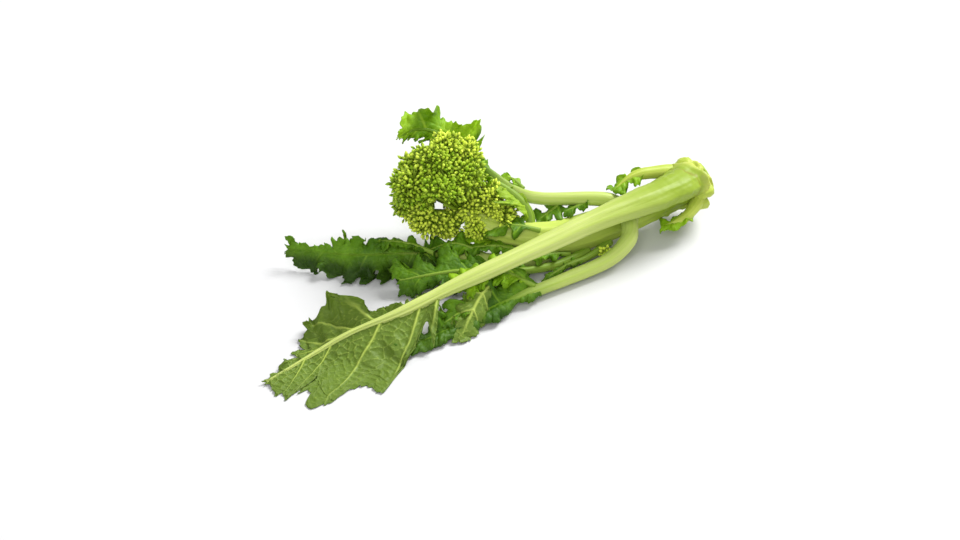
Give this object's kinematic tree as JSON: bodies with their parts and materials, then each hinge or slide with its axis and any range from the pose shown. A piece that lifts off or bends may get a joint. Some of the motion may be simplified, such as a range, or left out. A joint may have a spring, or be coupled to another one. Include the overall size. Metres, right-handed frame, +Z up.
{
  "type": "broccoli rabe",
  "caption": "Cut shoot of broccoli rabe lying on a table: thick pale stem, a head of flower buds, a long front leaf that drapes over the stem, and lobed leaves beside and behind it.",
  "frame": {"origin": "on the table under the middle of the object's box: the box is centred in X and Y, and its lowest faces are at Z = 0", "axes": "+X towards the cut end of the stem, so the shoot grows towards -X; +Z up from the table; -Y on the side of the two long leaf stalks"},
  "size_m": [0.3436, 0.1774, 0.0857],
  "materials": {
    "stem": "satin",
    "stalk": "satin",
    "leaf": "satin",
    "leaf_underside": "matte",
    "buds": "matte"
  },
  "bodies": {
    "root": {"main_stem": "stem", "front_leaf": "leaf_underside", "low_leaf": "stalk", "back_leaf": "leaf", "collar_leaf": "leaf", "far_leaf": "leaf", "inner_leaf": "leaf", "under_leaf": "leaf", "basal_leaf": "leaf", "stub_leaf": "stalk", "side_shoot": "stem", "side_shoot_buds": "buds", "bud_cluster_crown": "buds", "bud_cluster_front": "buds", "bud_cluster_right": "buds", "bud_cluster_back_right": "buds", "bud_cluster_back": "buds", "bud_cluster_left": "buds", "bud_cluster_low_front": "buds", "bud_cluster_low_left": "buds", "bud_cluster_low_back": "buds", "bud_cluster_side": "buds"}
  },
  "joints": []
}
